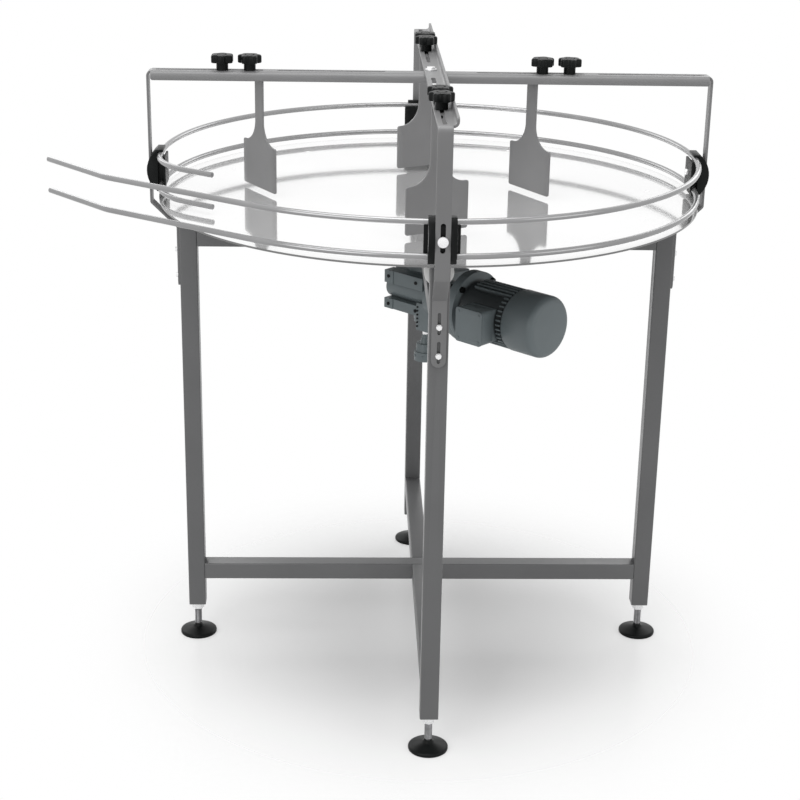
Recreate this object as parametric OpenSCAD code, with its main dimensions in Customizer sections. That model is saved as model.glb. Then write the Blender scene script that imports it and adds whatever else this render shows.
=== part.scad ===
// Rotary accumulation table for a packaging line.
// The origin is the middle of the disc's top face. +Z is up, -Y is the front, the infeed is at -X.

/* [Table] */
// Height of the disc's top face above the floor
table_height = 1105; // [1050:5:1200]
// Diameter of the turning disc
disc_diameter = 1200; // [1200:5:1240]
// Thickness of the disc
disc_thickness = 4; // [3:0.5:5]
// Thickness of the roller track ring under the disc
track_thickness = 3; // [2:0.5:4]

/* [Frame] */
// Outside width of the square tube
tube_width = 40; // [38:1:42]
// Wall of the square tube
tube_wall = 2; // [1.5:0.5:3]
// Distance from the disc's edge in to the middle of a leg
leg_inset = 60; // [58:1:62]
// Depth of the upper beams' underside below the disc's top
beam_drop = 125; // [120:1:130]
// Height of the lower braces' underside above the floor
brace_height = 151; // [140:1:200]
// Height of a leg's lower end above the floor
leg_clear = 81; // [79:1:95]

/* [Gantries] */
// Thickness of the bent sheet
sheet = 5; // [4:0.5:5]
// Width of the strip
strip_width = 30; // [28:1:32]
// Gap from the disc's edge out to an upright
upright_gap = 17; // [16:1:20]
// Height of the left-right bar's top face above the disc
bar_height = 270; // [260:2:300]
// Height of the stiffening flange along each bar
flange_height = 20; // [18:1:22]

/* [Guide rails] */
// Diameter of the rail rod
rod_diameter = 12; // [10:0.5:12]
// Height of the lower rail's middle above the disc
low_rail = 17; // [17:1:20]
// Height of the upper rail's middle above the disc
high_rail = 86; // [84:1:88]
// Distance of the infeed's outer rail from the table's axis
infeed_outer = 605; // [602:1:612]
// Distance of the infeed's inner stub from the table's axis
infeed_inner = 452; // [440:2:460]
// Direction of the infeed rails' normal, in degrees
infeed_angle = 234; // [230:1:238]

/* [Deflectors] */
// Width of a blade
blade_width = 150; // [140:2:156]
// Height of a blade at its sides
blade_height = 100; // [90:2:110]
// Gap between a blade and the disc
blade_gap = 8; // [7.5:0.5:12]
// Thickness of a blade
blade_sheet = 4; // [3:0.5:5]
// Position of the left blade's neck along its bar
neck_left = 377; // [372:1:385]
// Position of the front blade's neck along its bar
neck_front = 372; // [370:1:385]
// Position of the right blade's neck along its bar
neck_right = 225; // [200:1:235]
// Position of the back blade's neck along its bar
neck_back = 243; // [200:1:248]

/* [Knobs] */
// Diameter of a star knob
knob_diameter = 52; // [46:1:54]
// Height of a knob's head
knob_head = 17.5; // [14:0.5:20]
// Distance between the two knobs of a deflector
knob_pitch = 60; // [58:1:61]

/* [Drive] */
// Radius of the drive shaft
shaft_r = 12.5; // [12:0.5:12.5]
// Distance between worm and wheel axes
centre_distance = 50; // [50:0.5:52]
// Depth of the worm axis below the disc's top
worm_drop = 215; // [213:1:217]
// Outside radius of the motor's fan cowl
cowl_r = 68; // [67.5:0.5:70]

/* [Rollers and feet] */
// Radius of a support roller
roller_r = 30; // [26:1:30]
// Width of a support roller
roller_width = 22; // [18:1:22]
// Radius of a foot pad
pad_r = 43.5; // [38:0.5:46]
// Radius of a foot spindle
spindle_r = 8.5; // [7.5:0.5:9]

/* [Hidden] */
$fn = 64;
floor_z = -table_height;
disc_r = disc_diameter / 2;
leg_r = disc_r - leg_inset;
half = tube_width / 2;
leg_out = leg_r + half;
leg_in = leg_r - half;
leg_bottom = floor_z + leg_clear;
leg_top = -15;
beam_z = -beam_drop;
brace_z = floor_z + brace_height;
// Gaps between bodies that move past each other: flat faces and turning shafts
gap = 0.2;
running = 0.05;
// Gantry stations
up_in = disc_r + upright_gap;
up_out = up_in + sheet;
bend_r = 13;
bend_mid = up_out - bend_r;
foot_in = leg_out + gap;
foot_out = foot_in + sheet;
foot_low = -220;
jog_high = -24;
jog_low = jog_high - (up_in - foot_in);
jog_side = sheet * tan(22.5);
bolt_heights = [-136, -196];
bolt_slots = [[-152, -106], [-212, -166]];
clamp_slot = [30, 89];
bar_slots = [[disc_r - 500, disc_r - 263], [disc_r - 233, disc_r + 3]];
flange_bend = 11.5;
flange_end = bend_mid + 3;
cross_bolt_r = 5;
cross_hex = 17;
cross_bar_height = bar_height + sheet;
// Guide rails
rod_r = rod_diameter / 2;
rail_r = disc_r - 5;
exit_turn = 30;
exit_start = infeed_angle + exit_turn;
exit_r = rail_r + (infeed_outer - rail_r) / (1 - cos(exit_turn));
flare_turn = 13.5;
flare_r = 100;
flare_lead = flare_r * tan(flare_turn / 2);
infeed_length = 373;
flare_length = 221;
stub_length = 67;
stub_run = 35;
stub_r = (infeed_inner + rail_r * cos(infeed_angle) + stub_run * sin(infeed_angle)) / (1 + cos(infeed_angle));
// Rail clamps
clamp_width = 56;
clamp_low = 4;
clamp_high = 97;
clamp_r = 60;
clamp_face = rail_r + rod_r + running;
clamp_bolt_z = 53;
clamp_bolt_r = 4;
plate_face = rail_r - rod_r - gap;
// Deflectors and knobs
foot_sheet = 5;
foot_strip = 25;
neck_width = 35;
fillet_r = 50;
knob_lead = 20;
knob_far = knob_lead + knob_pitch;
stem_r = 13;
knob_lobe = 8;
knob_valley = 5;
// Turn of each deflector's inner and outer knob as they were left after tightening
left_turns = [0, 30];
right_turns = [14, 42];
front_turns = [30, 30];
back_turns = [30, 0];
// A knob's head turns just above the flange beside it
stem_height = flange_height - sheet + 1;
stud_r = 4;
// Support rollers
roller_z = -disc_thickness - track_thickness - 0.3 - roller_r;
roller_mid = leg_in - 4 - roller_width / 2;
axle_r = 5;
track_half = 25;
// Levelling feet
nut_height = 14;
nut_washer = 2;
nut_hex = 24;
hub_height = 20;
socket_floor = 12;
spindle_neck = 5;
spindle_reach = 48;
screw_ring = disc_r - 100;
// Drive, along the motor axis from the table's axis
drive_turn = -45;
worm_z = -worm_drop;
box_top = beam_z - 10;
box_low = worm_z - (box_top - worm_z);
// The casing of the worm and wheel hangs on a neck from its own top flange
casing_top = worm_z + 41;
casing_low = worm_z - 48;
box_back = -54;
box_front = 80;
box_far = 62;
bar_face = -30;
bar_depth = 28;
bar_end = 61;
lug_length = 26;
wing_start = 44;
wing_top = worm_z - 17;
worm_end = -48;
worm_tube_r = 26;
neck_r = 45;
top_flange_r = 78;
top_flange = 14;
input_end = 173;
flange_face = 185;
motor_start = 195;
motor_end = 335;
cowl_start = motor_end - 10;
cowl_wall = 2;
cowl_end = 404;
motor_flange_r = 80;
motor_body_r = 58;
fin_r = 67;
stator_r = 50;
rotor_shaft_r = 8;
housing_r = 55;
bearing_r = 26;
plate_bolt_ring = 64;
terminal_mid = 266;
terminal_length = 72;
terminal_height = 75;
terminal_drop = 5;
terminal_depth = 34;
stub_end_r = 6;
clutch_top = box_low - 40;
clutch_low = clutch_top - 61;
plate_side = 200;
hub_r = 110;

steel = [0.42, 0.42, 0.43];
sheet_steel = [0.52, 0.52, 0.53];
bright = [0.86, 0.87, 0.88];
black = [0.1, 0.11, 0.11];
casing_grey = [0.32, 0.35, 0.37];
white = [0.93, 0.93, 0.92];

// Shared shapes

// Puts its children on the +X arm, turned to one of the four sides
module side(turn) {
    rotate([0, 0, turn]) children();
}

module four_sides() {
    for (turn = [0:90:270]) side(turn) children();
}

// A square with round corners, middle at the origin
module soft_square(width, depth, corner) {
    square([width - 2 * corner, depth], center = true);
    square([width, depth - 2 * corner], center = true);
    for (x = [-1, 1], y = [-1, 1])
        translate([x * (width / 2 - corner), y * (depth / 2 - corner)]) circle(corner);
}

// A slot outline along X from one end to the other
module slot_outline(from, to, width) {
    translate([from + width / 2, -width / 2]) square([to - from - width, width]);
    for (x = [from + width / 2, to - width / 2]) translate([x, 0]) circle(width / 2);
}

// A cylinder lying along +X
module rod_x(from, to, r) {
    translate([from, 0, 0]) rotate([0, 90, 0]) cylinder(h = to - from, r = r);
}

// A ring lying along +X
module ring_x(from, to, r, hole) {
    difference() {
        rod_x(from, to, r);
        rod_x(from - 1, to + 1, hole);
    }
}

// A hexagon bar lying along +X
module hex_x(from, to, across) {
    translate([from, 0, 0]) rotate([0, 90, 0]) cylinder(h = to - from, d = across / cos(30), $fn = 6);
}

// Square tube lying along +X
module tube_x(from, to) {
    translate([from, 0, 0]) rotate([90, 0, 90]) linear_extrude(to - from) difference() {
        soft_square(tube_width, tube_width, 3);
        square(tube_width - 2 * tube_wall, center = true);
    }
}

// Motor frame: +X along the motor axis, +Y to the far side, origin on the table's axis at worm height
module drive_frame() {
    translate([0, 0, worm_z]) rotate([0, 0, drive_turn]) children();
}

// The same frame moved out to the worm axis, on the front-left side
module worm_frame() {
    drive_frame() translate([0, -centre_distance, 0]) children();
}

// Frame

module leg() {
    color(steel) difference() {
        translate([leg_r, 0, leg_bottom]) linear_extrude(leg_top - leg_bottom) difference() {
            soft_square(tube_width, tube_width, 3);
            square(tube_width - 2 * tube_wall, center = true);
        }
        for (z = bolt_heights) translate([0, 0, z]) rod_x(leg_r, leg_out + 1, 3 + running);
        translate([0, 0, roller_z]) rod_x(leg_in - 1, leg_r, axle_r + running);
    }
}

module leg_front() { side(270) leg(); }
module leg_right() { side(0) leg(); }
module leg_back() { side(90) leg(); }
module leg_left() { side(180) leg(); }

module upper_beams() {
    color(steel) four_sides() difference() {
        translate([0, 0, beam_z + half]) tube_x(half, leg_in);
        translate([0, 0, beam_z - 1]) cylinder(h = tube_width + 2, r = housing_r);
    }
}

module lower_braces() {
    color(steel) {
        translate([0, 0, brace_z + half]) tube_x(-leg_in, leg_in);
        for (turn = [90, 270]) side(turn) translate([0, 0, brace_z + half]) tube_x(half, leg_in);
    }
}

module leg_plugs() {
    inner = tube_width - 2 * tube_wall - 2 * gap;
    color(black) four_sides() translate([leg_r, 0, leg_bottom]) difference() {
        linear_extrude(40) square(inner, center = true);
        translate([0, 0, -1]) cylinder(h = 42, r = spindle_r + running);
    }
}

module foot_lock_nuts() {
    tall = nut_height + nut_washer;
    color(bright) four_sides() translate([leg_r, 0, leg_bottom - tall]) difference() {
        union() {
            cylinder(h = nut_height, d = nut_hex / cos(30), $fn = 6);
            translate([0, 0, nut_height]) cylinder(h = nut_washer, r = nut_hex / 2 + 2);
        }
        translate([0, 0, -1]) cylinder(h = tall + 2, r = spindle_r + running);
    }
}

// Each roller turns on a shouldered bolt that is nutted to the leg's inner wall
module roller_axles() {
    wall = leg_in + tube_wall;
    color(bright) four_sides() translate([0, 0, roller_z]) {
        rod_x(roller_mid - roller_width / 2 - 2, wall + 6, axle_r);
        rod_x(roller_mid - roller_width / 2 - 5, roller_mid - roller_width / 2 - 1, 9);
        rod_x(roller_mid + roller_width / 2 + 1, leg_in, 9);
        hex_x(wall, wall + 5, 17);
    }
}

// Hexagon bolts and washers that hold the gantry feet to the legs, two to a leg
module bracket_bolts() {
    color(bright) four_sides() for (z = bolt_heights) translate([0, 0, z]) {
        rod_x(leg_out - 14, foot_out + 4, 3);
        rod_x(foot_out + gap, foot_out + gap + 1.2, 6);
        hex_x(foot_out + gap + 1.2, foot_out + gap + 5.2, 10);
    }
}

// Drive

module bearing_housing() {
    color(steel) translate([0, 0, beam_z]) difference() {
        cylinder(h = 45, r = housing_r);
        translate([0, 0, -1]) cylinder(h = 47, r = 20);
        translate([0, 0, -1]) cylinder(h = 18, r = bearing_r);
        translate([0, 0, 28]) cylinder(h = 18, r = bearing_r);
    }
}

module drive_plate() {
    color(steel) rotate([0, 0, drive_turn]) translate([0, 0, box_top]) difference() {
        linear_extrude(10) soft_square(plate_side, plate_side, 12);
        translate([0, 0, -1]) cylinder(h = 12, r = 20);
        for (turn = [0:90:270]) rotate([0, 0, turn]) translate([plate_bolt_ring, 0, -1])
            cylinder(h = 12, r = 4 + running);
    }
}

// Ball bearings drawn as plain rings: two in the housing, two on the worm, two in the motor
module shaft_bearings() {
    color(bright) {
        for (z = [beam_z + 2, beam_z + 28]) translate([0, 0, z]) difference() {
            cylinder(h = 15, r = bearing_r - running / 2);
            translate([0, 0, -1]) cylinder(h = 17, r = shaft_r + running);
        }
        worm_frame() for (x = [worm_end + 2, 62, motor_start - 2, motor_end - 13])
            ring_x(x, x + 12, 20, rotor_shaft_r + running);
    }
}

// Worm and wheel casing: body, neck and top flange, two bars with end lugs, worm tube, wing plate
// and motor flange
module gearbox_casing() {
    color(casing_grey) difference() {
        union() {
            drive_frame()
                translate([(box_back + box_front) / 2, (box_far - centre_distance) / 2, casing_low - worm_z])
                linear_extrude(casing_top - casing_low)
                    soft_square(box_front - box_back, box_far + centre_distance, 8);
            translate([0, 0, casing_top - 1]) cylinder(h = box_top - casing_top, r = neck_r);
            translate([0, 0, box_top - top_flange]) cylinder(h = top_flange, r = top_flange_r);
            translate([0, 0, box_low]) cylinder(h = casing_low - box_low + 1, r = neck_r - 18);
            worm_frame() {
                rod_x(box_back, bar_end + 2, worm_tube_r);
                rod_x(box_front - 5, input_end, neck_r);
                rod_x(input_end, flange_face, motor_flange_r);
                casing_bar(12, casing_top - worm_z);
                casing_bar(casing_low - worm_z, -25);
                translate([wing_start, bar_face, box_low - worm_z])
                    cube([box_front - wing_start, bar_depth, wing_top - box_low]);
            }
        }
        translate([0, 0, worm_z - 30]) cylinder(h = 60, r = 44);
        translate([0, 0, box_low - 1]) cylinder(h = box_top - box_low + 2, r = shaft_r + 1);
        worm_frame() {
            rod_x(box_back - 1, flange_face + 1, 14);
            rod_x(box_back - 1, worm_end + 16, 20 + running);
            rod_x(60, 76, 20 + running);
            rod_x(76, flange_face + 1, 24);
        }
        drive_frame() for (turn = [0:90:270]) rotate([0, 0, turn])
            translate([plate_bolt_ring, 0, box_top - worm_z - top_flange + 1])
                cylinder(h = top_flange, r = 4 + running);
    }
}

// One bar across the casing's front between two heights, with the lug at its back end
module casing_bar(low, high) {
    translate([box_back, bar_face, low]) cube([bar_end - box_back, bar_depth, high - low]);
    translate([box_back, bar_face - 2, low]) cube([lug_length, bar_depth, high - low]);
}

module gearbox_covers() {
    color(casing_grey) {
        translate([0, 0, box_low - 6]) difference() {
            cylinder(h = 6, r = neck_r - 19);
            translate([0, 0, -1]) cylinder(h = 8, r = shaft_r + 1);
        }
        worm_frame() rod_x(box_back - 1, worm_end, 20);
    }
}

// Screws of the casing's bars, wing and covers, the drive plate and the motor flange
module drive_screws() {
    color(black) {
        drive_frame() for (turn = [0:90:270]) rotate([0, 0, turn])
            translate([plate_bolt_ring, 0, box_top - worm_z - top_flange + 2]) {
                cylinder(h = top_flange + 16, r = 4);
                translate([0, 0, top_flange + 8]) cylinder(h = 8, r = 6.5);
            }
        worm_frame() {
            for (z = [28, -37]) {
                face_screw(box_back + lug_length / 2, bar_face - 2, z, 4);
                face_screw(bar_end - 20, bar_face, z, 4);
            }
            for (z = [26:9:71]) face_screw(wing_start + 4, bar_face, -z, 2.2);
            for (turn = [45:90:315]) rotate([turn, 0, 0]) {
                translate([0, 71.5, 0]) {
                    hex_x(flange_face - 18, flange_face - 12, 13);
                    hex_x(motor_start, motor_start + 6, 13);
                }
                translate([0, 15, 0]) rod_x(box_back - 3, box_back - 1, 3);
            }
        }
        for (turn = [30:60:330]) rotate([0, 0, turn]) translate([20, 0, box_low - 9]) cylinder(h = 3, r = 3);
    }
}

// Low round head on a front face of the casing
module face_screw(x, face, z, r) {
    translate([x, face, z]) rotate([90, 0, 0]) cylinder(h = 2, r = r);
}

// Motor body with fins; the pad of the terminal box is smooth, with short fins only beside the cowl
module motor_housing() {
    fins = 40;
    color(casing_grey) worm_frame() difference() {
        union() {
            rod_x(flange_face, motor_start, motor_flange_r);
            rod_x(motor_start, motor_end, motor_body_r);
            rod_x(motor_end - 14, motor_end, cowl_r - cowl_wall - running);
            for (turn = [0:360 / fins:359]) rotate([turn, 0, 0]) {
                fin_start = abs(turn - 81) < 46 ? motor_end - 29 : motor_start + 20;
                translate([fin_start, -1.5, 0]) cube([motor_end - 16 - fin_start, 3, fin_r]);
            }
            translate([terminal_mid, 20 - fin_r - 2, -terminal_drop])
                cube([terminal_length - 4, 40, terminal_height - 4], center = true);
        }
        rod_x(motor_start + 12, motor_end - 14, stator_r);
        rod_x(flange_face - 1, motor_end + 1, rotor_shaft_r + 1);
        rod_x(flange_face - 1, motor_start + 13, 20 + running);
        rod_x(motor_end - 15, motor_end - 1, 20 + running);
    }
}

module stator_core() {
    color([0.55, 0.35, 0.2]) worm_frame() ring_x(motor_start + 30, motor_end - 32, stator_r - running, 32);
}

module fan_cowl() {
    dome = 16;
    depth = cowl_end - cowl_start;
    color(casing_grey) worm_frame()
        translate([cowl_start, 0, 0]) rotate([0, 90, 0]) rotate_extrude() difference() {
            union() {
                square([cowl_r, depth - dome]);
                square([cowl_r - dome, depth]);
                translate([cowl_r - dome, depth - dome]) circle(dome);
            }
            translate([-1, -1]) square([cowl_r - cowl_wall + 1, depth - dome + 1]);
            translate([-1, -1]) square([cowl_r - dome + 1, depth - cowl_wall + 1]);
            translate([cowl_r - dome, depth - dome]) circle(dome - cowl_wall);
            translate([-100, -1]) square([100, 200]);
        }
}

// Puts an outline's children at the terminal box's middle, facing out from the motor
module terminal_frame(out) {
    worm_frame() translate([terminal_mid, -fin_r - 2 - out, -terminal_drop]) rotate([90, 0, 0]) children();
}

module terminal_box() {
    color(casing_grey) difference() {
        terminal_frame(0) linear_extrude(terminal_depth) soft_square(terminal_length, terminal_height, 7);
        terminal_frame(3) linear_extrude(terminal_depth)
            soft_square(terminal_length - 10, terminal_height - 10, 4);
        gland_frame() translate([0, 0, -1]) cylinder(h = 8, r = 6 + running);
    }
}

module terminal_lid() {
    color(casing_grey) {
        terminal_frame(terminal_depth) linear_extrude(4)
            soft_square(terminal_length + 1, terminal_height + 1, 7);
        for (x = [-1, 1], y = [-1, 1])
            terminal_frame(terminal_depth + 4)
                translate([x * (terminal_length / 2 - 8), y * (terminal_height / 2 - 8)])
                    cylinder(h = 1.5, r = 3);
    }
}

// Origin on the underside of the terminal box, +Z up
module gland_frame() {
    worm_frame()
        translate([terminal_mid, -fin_r - 2 - terminal_depth / 2, -terminal_drop - terminal_height / 2])
            children();
}

// Flat entry bush in the underside of the terminal box
module cable_gland() {
    color(black) gland_frame() difference() {
        union() {
            translate([0, 0, -2]) cylinder(h = 10, r = 6);
            translate([0, 0, -2]) cylinder(h = 2, r = 10);
        }
        translate([0, 0, -3]) cylinder(h = 12, r = 3.5);
    }
}

// Turntable

module disc_plate() {
    color(bright) difference() {
        translate([0, 0, -disc_thickness]) cylinder(h = disc_thickness, r = disc_r, $fn = 180);
        for (turn = [4:30:334]) rotate([0, 0, turn]) translate([screw_ring, 0, 0]) {
            translate([0, 0, -disc_thickness - 1]) cylinder(h = disc_thickness + 2, r = 3 + running);
            translate([0, 0, -3]) cylinder(h = 3.1, r1 = 3 + running, r2 = 6.2);
        }
    }
}

module track_ring() {
    color(steel) translate([0, 0, -disc_thickness - track_thickness]) difference() {
        cylinder(h = track_thickness, r = screw_ring + track_half);
        translate([0, 0, -1]) cylinder(h = track_thickness + 2, r = screw_ring - track_half);
        for (turn = [4:30:334]) rotate([0, 0, turn]) translate([screw_ring, 0, -1])
            cylinder(h = track_thickness + 2, r = 3 + running);
    }
}

module disc_screws() {
    color(white) for (turn = [4:30:334]) rotate([0, 0, turn]) translate([screw_ring, 0, 0]) {
        translate([0, 0, -disc_thickness - track_thickness])
            cylinder(h = disc_thickness + track_thickness - 2.8, r = 3);
        translate([0, 0, -2.9]) cylinder(h = 2.8, r1 = 3, r2 = 5.9);
    }
}

module hub_flange() {
    color(steel) translate([0, 0, -disc_thickness]) difference() {
        union() {
            translate([0, 0, -10]) cylinder(h = 10, r = hub_r);
            translate([0, 0, -50]) cylinder(h = 42, r = 32);
        }
        translate([0, 0, -51]) cylinder(h = 47, r = shaft_r + running);
    }
}

module drive_shaft() {
    color(bright) {
        translate([0, 0, box_low - 8]) cylinder(h = -disc_thickness - 10 - box_low + 8, r = shaft_r);
        translate([0, 0, clutch_low - 2]) cylinder(h = box_low - clutch_low, r = stub_end_r);
    }
}

module worm_wheel() {
    teeth = 40;
    color([0.7, 0.52, 0.25]) translate([0, 0, worm_z]) difference() {
        union() {
            translate([0, 0, -11]) linear_extrude(22) {
                circle(centre_distance - 13);
                for (turn = [0:360 / teeth:359]) rotate(turn)
                    translate([centre_distance - 14, -1.5]) square([3, 3]);
            }
            translate([0, 0, -24]) cylinder(h = 48, r = 22);
        }
        translate([0, 0, -25]) cylinder(h = 50, r = shaft_r + running);
    }
}

// Slip clutch that ends the shaft: collar, cone, drum, adjusting ring and two clamp screws
module slip_clutch() {
    ring_top = clutch_low + 20.5;
    drum_top = clutch_top - 20;
    color(casing_grey) difference() {
        union() {
            translate([0, 0, clutch_top - 9]) cylinder(h = 9, r = 7.5);
            translate([0, 0, drum_top - 1]) cylinder(h = 13, r1 = 12.5, r2 = 8);
            translate([0, 0, ring_top]) cylinder(h = drum_top - ring_top, r = 20);
            translate([0, 0, clutch_low]) cylinder(h = ring_top - clutch_low + 1, r = 24.5);
            for (turn = [-160, -110]) translate([0, 0, ring_top - 8]) rotate([0, 0, turn]) rod_x(15, 26, 3);
        }
        translate([0, 0, clutch_low - 1]) cylinder(h = 100, r = stub_end_r + running);
    }
}

module rotor_shaft() {
    color(bright) worm_frame() {
        rod_x(worm_end + 2, motor_end + 36, rotor_shaft_r);
        rod_x(worm_end + 16, 58, 10);
        rod_x(motor_start + 32, motor_end - 34, 31.5);
    }
}

module cooling_fan() {
    color(black) worm_frame() difference() {
        union() {
            rod_x(motor_end + 8, motor_end + 32, 16);
            rod_x(motor_end + 8, motor_end + 11, 52);
            for (turn = [0:45:315]) rotate([turn, 0, 0])
                translate([motor_end + 10, -1.5, 14]) cube([20, 3, 38]);
        }
        rod_x(motor_end, motor_end + 40, rotor_shaft_r + running);
    }
}

module roller() {
    color(white) translate([0, 0, roller_z])
        ring_x(roller_mid - roller_width / 2, roller_mid + roller_width / 2, roller_r, axle_r + running);
}

module roller_front() { side(270) roller(); }
module roller_right() { side(0) roller(); }
module roller_back() { side(90) roller(); }
module roller_left() { side(180) roller(); }

// Pad with its socket, and the threaded spindle that stands in it on a narrower neck
module foot() {
    bore = spindle_neck + running;
    spindle_low = socket_floor + running;
    spindle_top = leg_clear + spindle_reach;
    color(black) translate([leg_r, 0, floor_z]) {
        rotate_extrude() polygon([[0, 0], [pad_r, 0], [pad_r, 6], [pad_r - 3, 8],
            [spindle_neck + 6, hub_height - 3], [spindle_neck + 4, hub_height], [bore, hub_height],
            [bore, socket_floor], [0, socket_floor]]);
        rotate_extrude() polygon([[0, spindle_low], [spindle_neck, spindle_low],
            [spindle_neck, hub_height + 1], [spindle_r, hub_height + 5], [spindle_r, spindle_top],
            [0, spindle_top]]);
    }
}

module foot_front() { side(270) foot(); }
module foot_right() { side(0) foot(); }
module foot_back() { side(90) foot(); }
module foot_left() { side(180) foot(); }

// Gantries

// Outline of the strip's right half, seen from the front, with its bar's top at the given height
module strip_outline(top) {
    polygon([[foot_in, foot_low + strip_width / 2], [foot_in, jog_low + jog_side / 2],
        [up_in, jog_high + jog_side / 2], [up_in, top - bend_r], [up_out, top - bend_r],
        [up_out, jog_high - jog_side / 2],
        [foot_out, jog_low - jog_side / 2], [foot_out, foot_low + strip_width / 2]]);
    translate([bend_mid, top - bend_r]) intersection() {
        difference() {
            circle(bend_r);
            circle(bend_r - sheet);
        }
        square(bend_r + 1);
    }
    translate([0, top - sheet]) square([bend_mid, sheet]);
}

// One gantry: strip, round feet, stiffening flange up (1) or down (-1) along the -Y edge, slots
module gantry(top, flange_side) {
    mid = strip_width / 2;
    color(sheet_steel) difference() {
        union() {
            for (turn = [0, 180]) side(turn) {
                rotate([90, 0, 0]) translate([0, 0, -mid]) linear_extrude(strip_width) strip_outline(top);
                translate([foot_in, 0, foot_low + mid]) rotate([0, 90, 0]) cylinder(h = sheet, r = mid);
            }
            translate([-flange_end, -mid, flange_side > 0 ? top - sheet : top]) rotate([90, 0, 90])
                linear_extrude(2 * flange_end) scale([1, flange_side]) flange_section();
        }
        for (turn = [0, 180]) side(turn) {
            for (ends = bar_slots) translate([0, 0, top - sheet - 1])
                linear_extrude(sheet + 2) slot_outline(ends[0], ends[1], 9.5);
            for (ends = bolt_slots) translate([foot_in - 1, 0, 0]) rotate([0, -90, 180])
                linear_extrude(sheet + 2) slot_outline(ends[0], ends[1], 6.6);
            translate([up_in - 1, 0, 0]) rotate([0, -90, 180])
                linear_extrude(sheet + 2) slot_outline(clamp_slot[0], clamp_slot[1], 10);
        }
        translate([0, 0, top - sheet - 1]) cylinder(h = sheet + 2, r = cross_bolt_r + running);
    }
}

// Section of the flange with its bend, rising from the strip's edge
module flange_section() {
    translate([0, flange_bend]) intersection() {
        difference() {
            circle(flange_bend);
            circle(flange_bend - sheet);
        }
        translate([-flange_bend - 1, -flange_bend - 1]) square(flange_bend + 1);
    }
    translate([-flange_bend, flange_bend]) square([sheet, flange_height - flange_bend]);
}

module gantry_left_right() { gantry(bar_height, -1); }
module gantry_front_back() { side(90) gantry(cross_bar_height, 1); }

// Washer, hexagon head, shank and nut that hold the two bars together where they cross
module crossing_bolt() {
    color(bright) translate([0, 0, cross_bar_height]) {
        translate([0, 0, -2 * sheet - 14]) cylinder(h = 2 * sheet + 16, r = cross_bolt_r);
        cylinder(h = 2.5, r = 12.5);
        translate([0, 0, 2.5]) rotate(30) cylinder(h = 4, d = cross_hex / cos(30), $fn = 6);
        translate([0, 0, -2 * sheet - 10]) cylinder(h = 10, d = cross_hex / cos(30), $fn = 6);
    }
}

// Guide rails

// One rod: stub, left bend, ring, exit bend, infeed straight and flared end
module rail(z) {
    color(steel) translate([0, 0, z]) {
        rotate([0, 0, exit_start - 360]) {
            rotate_extrude(angle = 540 - exit_start, $fn = 180) translate([rail_r, 0]) circle(rod_r);
            translate([rail_r, 0, 0]) weld_bead();
        }
        translate([-(exit_r - rail_r) * cos(exit_start), -(exit_r - rail_r) * sin(exit_start), 0]) {
            rotate([0, 0, infeed_angle]) rotate_extrude(angle = exit_turn, $fn = 180)
                translate([exit_r, 0]) circle(rod_r);
            rotate([0, 0, infeed_angle]) translate([exit_r, 0, 0]) {
                weld_bead();
                infeed_rod();
            }
        }
        translate([-rail_r, 0, 0]) {
            rotate([90, 0, 0]) cylinder(h = stub_run, r = rod_r);
            weld_bead();
            translate([0, -stub_run, 0]) weld_bead();
        }
        translate([stub_r - rail_r, -stub_run, 0]) {
            rotate([0, 0, 180]) rotate_extrude(angle = infeed_angle - 180, $fn = 180)
                translate([stub_r, 0]) circle(rod_r);
            rotate([0, 0, infeed_angle]) translate([stub_r, 0, 0]) {
                rotate([-90, 0, 0]) cylinder(h = stub_length, r = rod_r);
                weld_bead();
            }
        }
    }
}

// Ground-down weld between two stretches of rod, along Y
module weld_bead() {
    rotate([90, 0, 0]) cylinder(h = 3, r = rod_r + 0.04, center = true);
}

// The straight and the flare, running along -Y from the end of the exit bend
module infeed_rod() {
    rotate([90, 0, 0]) cylinder(h = infeed_length - flare_lead, r = rod_r);
    translate([-flare_r, flare_lead - infeed_length, 0]) {
        rotate([0, 0, -flare_turn]) rotate_extrude(angle = flare_turn, $fn = 180)
            translate([flare_r, 0]) circle(rod_r);
        translate([flare_r, 0, 0]) weld_bead();
        rotate([0, 0, -flare_turn]) translate([flare_r, 0, 0]) {
            weld_bead();
            rotate([90, 0, 0]) cylinder(h = flare_length - flare_lead, r = rod_r);
        }
    }
}

module upper_rail() { rail(high_rail); }
module lower_rail() { rail(low_rail); }

// Section of a clamp body, seen from the side: a round back with a hook over and under the rods
module clamp_outline() {
    intersection() {
        translate([up_out + 4 - clamp_r, (clamp_low + clamp_high) / 2]) circle(clamp_r);
        difference() {
            translate([plate_face, clamp_low]) square([100, clamp_high - clamp_low]);
            translate([plate_face - 1, low_rail - rod_r - running])
                square([clamp_face - plate_face + 1, high_rail - low_rail + 2 * rod_r + 2 * running]);
        }
    }
}

module clamp_bodies() {
    color(black) four_sides() difference() {
        rotate([90, 0, 0]) translate([0, 0, -clamp_width / 2]) linear_extrude(clamp_width) clamp_outline();
        translate([up_in - 0.3, -strip_width / 2 - 0.3, -50]) cube([50, strip_width + 0.6, 300]);
        translate([0, 0, clamp_bolt_z]) rod_x(rail_r, up_out, clamp_bolt_r + running);
    }
}

module clamp_plates() {
    low = low_rail + 0.5;
    high = high_rail - 4;
    boss_low = low_rail + rod_r + 3;
    boss_high = high_rail - rod_r - 3;
    color(black) four_sides() difference() {
        union() {
            translate([plate_face - 5, 0, (low + high) / 2]) rotate([90, 0, 90])
                linear_extrude(5 - 0.8) soft_square(72, high - low, 3);
            translate([plate_face - 3, -20, boss_low])
                cube([clamp_face - plate_face + 3, 40, boss_high - boss_low]);
        }
        translate([0, 0, clamp_bolt_z]) rod_x(plate_face - 10, clamp_face + 1, clamp_bolt_r + running);
    }
}

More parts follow.
